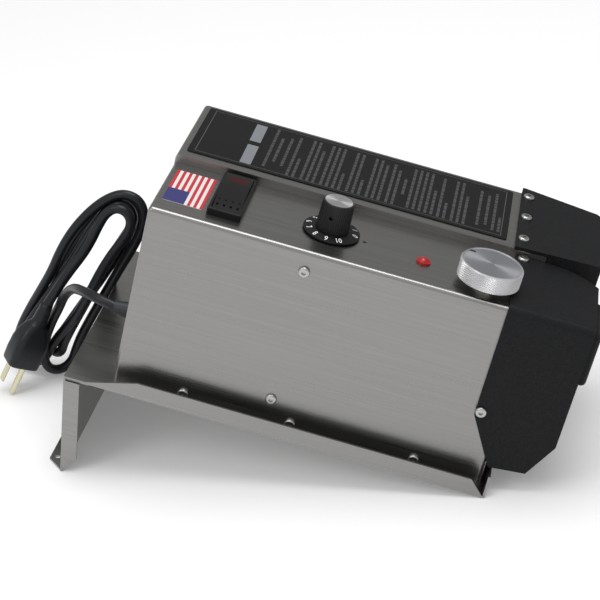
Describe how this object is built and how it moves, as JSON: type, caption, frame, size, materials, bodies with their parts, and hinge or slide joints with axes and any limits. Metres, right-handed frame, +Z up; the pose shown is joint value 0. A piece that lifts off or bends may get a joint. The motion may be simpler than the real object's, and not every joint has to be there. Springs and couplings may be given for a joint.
{
  "type": "electric knife sharpener",
  "caption": "Bench sharpener on a tilted sheet-metal stand: motor housing, two guarded sets of interleaved grinding wheels, speed and angle knobs, rocker switch, mains cord.",
  "frame": {"origin": "on the table, under the middle of the machine's own box without its cord", "axes": "+X along the machine to its guarded grinding wheels, +Y away from the control side, +Z up"},
  "size_m": [0.4607, 0.205, 0.2112],
  "materials": {
    "stainless": "brushed along the machine's length",
    "guard_black": "fine pebble texture",
    "label_black": "satin printed plate",
    "decal": "gloss striped film",
    "abrasive_pink": "bonded grain",
    "machined_steel": "turned",
    "zinc": "zinc plated",
    "cast": "cast and machined",
    "alloy": "machined",
    "knob_metal": "knurled rim, turned face",
    "knob_black": "moulded",
    "dial_black": "moulded with white figures",
    "cap_metal": "spun disc",
    "switch_black": "moulded",
    "lens_red": "clear red, gloss",
    "rubber_black": "satin",
    "pin_brass": "drawn",
    "motor_paint": "satin",
    "board": "solder mask",
    "nylon": "moulded"
  },
  "bodies": {
    "frame": {"stand_tray": "stainless", "stand_leg": "stainless", "near_housing": "stainless", "far_housing": "stainless", "near_guard": "guard_black", "far_guard": "guard_black", "chassis_pan": "zinc", "front_bulkhead": "alloy", "rear_bulkhead": "alloy", "near_bearings": "machined_steel", "motor_can": "motor_paint", "motor_end_bell": "alloy", "motor_mount": "zinc", "drive_belt": "rubber_black", "guide_rods": "machined_steel", "rod_brackets": "alloy", "return_springs": "machined_steel", "angle_bushing": "pin_brass", "speed_pot": "zinc", "speed_board": "board", "switch_bezel": "switch_black", "lamp_lens": "lens_red", "lamp_body": "nylon", "instruction_panel": "label_black", "striped_decal": "decal", "terminal_block": "nylon", "housing_screws": "zinc", "guard_screws": "zinc", "tray_bolts": "zinc", "cord_relief": "rubber_black", "cord_lead": "rubber_black", "cord_hank": "rubber_black", "cord_tail": "rubber_black", "plug_body": "rubber_black", "plug_pins": "pin_brass"},
    "near_shaft": {"near_shaft": "machined_steel", "near_wheels": "abrasive_pink", "near_spacers": "alloy", "near_gear": "nylon", "near_pulley": "alloy", "near_nut": "zinc"},
    "carriage": {"carriage_block": "alloy", "far_bearings": "machined_steel", "cam_follower": "machined_steel"},
    "far_shaft": {"far_shaft": "machined_steel", "far_wheels": "abrasive_pink", "far_spacers": "alloy", "far_gear": "nylon", "far_nut": "zinc"},
    "motor_rotor": {"motor_shaft": "machined_steel", "motor_pulley": "alloy"},
    "speed_knob": {"speed_knob": "knob_black", "speed_knob_cap": "cap_metal", "speed_dial_skirt": "dial_black", "speed_spindle": "machined_steel"},
    "angle_knob": {"angle_knob": "knob_metal", "angle_spindle": "machined_steel", "angle_cam": "machined_steel"},
    "rocker": {"rocker": "switch_black", "rocker_lens": "lens_red"}
  },
  "joints": [
    {"name": "near_spin", "type": "hinge", "parent": "frame", "child": "near_shaft", "pos_m": [0.07994, -0.049, 0.09991], "axis": [0.967, 0, -0.2547], "continuous": true},
    {"name": "carriage_slide", "type": "slide", "parent": "frame", "child": "carriage", "axis": [0, 1, 0], "range_m": [0, 0.0045]},
    {"name": "far_spin", "type": "hinge", "parent": "carriage", "child": "far_shaft", "pos_m": [0.07994, 0.02, 0.09991], "axis": [0.967, 0, -0.2547], "continuous": true},
    {"name": "motor_spin", "type": "hinge", "parent": "frame", "child": "motor_rotor", "pos_m": [-0.058, -0.049, 0.0866], "axis": [0.967, 0, -0.2547], "continuous": true},
    {"name": "speed_turn", "type": "hinge", "parent": "frame", "child": "speed_knob", "pos_m": [0.0124, -0.0507, 0.18388], "axis": [-0.2547, 0, -0.967], "range_deg": [0, 300]},
    {"name": "angle_turn", "type": "hinge", "parent": "frame", "child": "angle_knob", "pos_m": [0.11945, -0.066, 0.15568], "axis": [0.2547, 0, 0.967], "range_deg": [0, 270]},
    {"name": "rocker_tip", "type": "hinge", "parent": "frame", "child": "rocker", "pos_m": [-0.06019, -0.044, 0.19214], "axis": [-0.967, 0, 0.2547], "range_deg": [0, 12]}
  ],
  "couplings": [
    {"joint": "far_spin", "follows": "near_spin", "ratio": -1},
    {"joint": "motor_spin", "follows": "near_spin", "ratio": 2},
    {"joint": "angle_turn", "follows": "carriage_slide", "rad_per_m": 1047.2}
  ]
}
